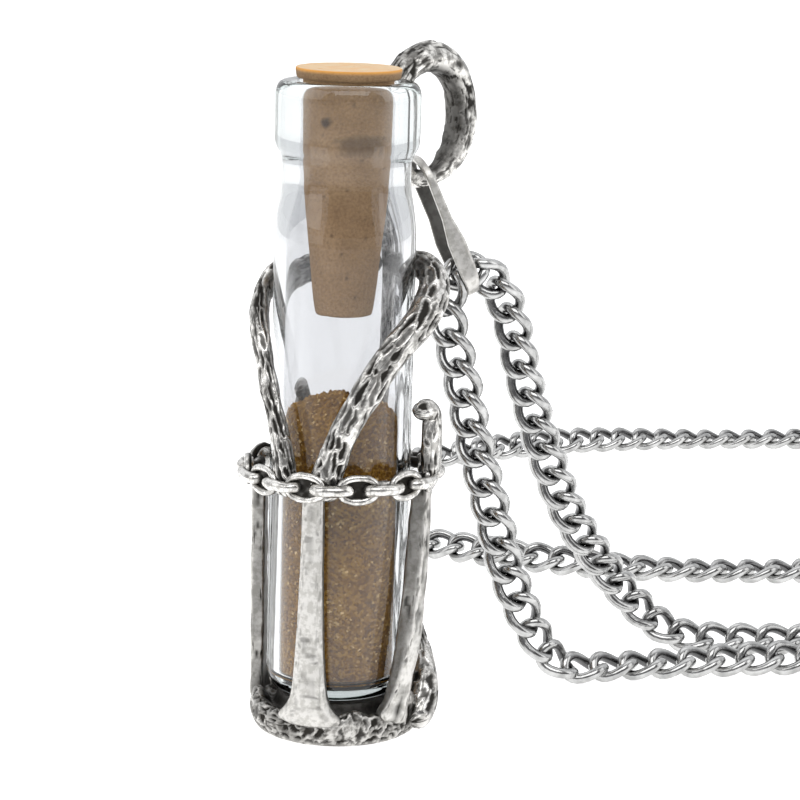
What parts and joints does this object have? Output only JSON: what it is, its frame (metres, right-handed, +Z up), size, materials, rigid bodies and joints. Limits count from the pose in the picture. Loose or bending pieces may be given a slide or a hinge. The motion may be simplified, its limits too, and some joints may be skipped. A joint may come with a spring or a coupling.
{
  "type": "bottle pendant necklace",
  "caption": "Corked glass vial of powder in a cast cage of roots and twigs with a hook ring, hung by a tapered bail on a looped curb chain.",
  "frame": {"origin": "middle of the base's flat underside", "axes": "+Z up along the vial, -Y toward the front strap, +Y toward the stem and the crook"},
  "size_m": [0.1408, 0.1639, 0.0606],
  "materials": {
    "clear_glass": "clear, polished",
    "cork": "natural cork, cut smooth",
    "powder": "fine dry powder with a faint sparkle",
    "oxidised_silver": "cast and darkened, rubbed bright on the ridges",
    "polished_steel": "polished"
  },
  "bodies": {
    "holder": {"vial": "clear_glass", "powder": "powder", "cage": "oxidised_silver", "bail": "polished_steel", "chain": "polished_steel", "clasp": "polished_steel"},
    "stopper": {"cork": "cork"}
  },
  "joints": [
    {"name": "cork_pull", "type": "slide", "parent": "holder", "child": "stopper", "axis": [0, 0, 1], "range_m": [0, 0.024]}
  ]
}
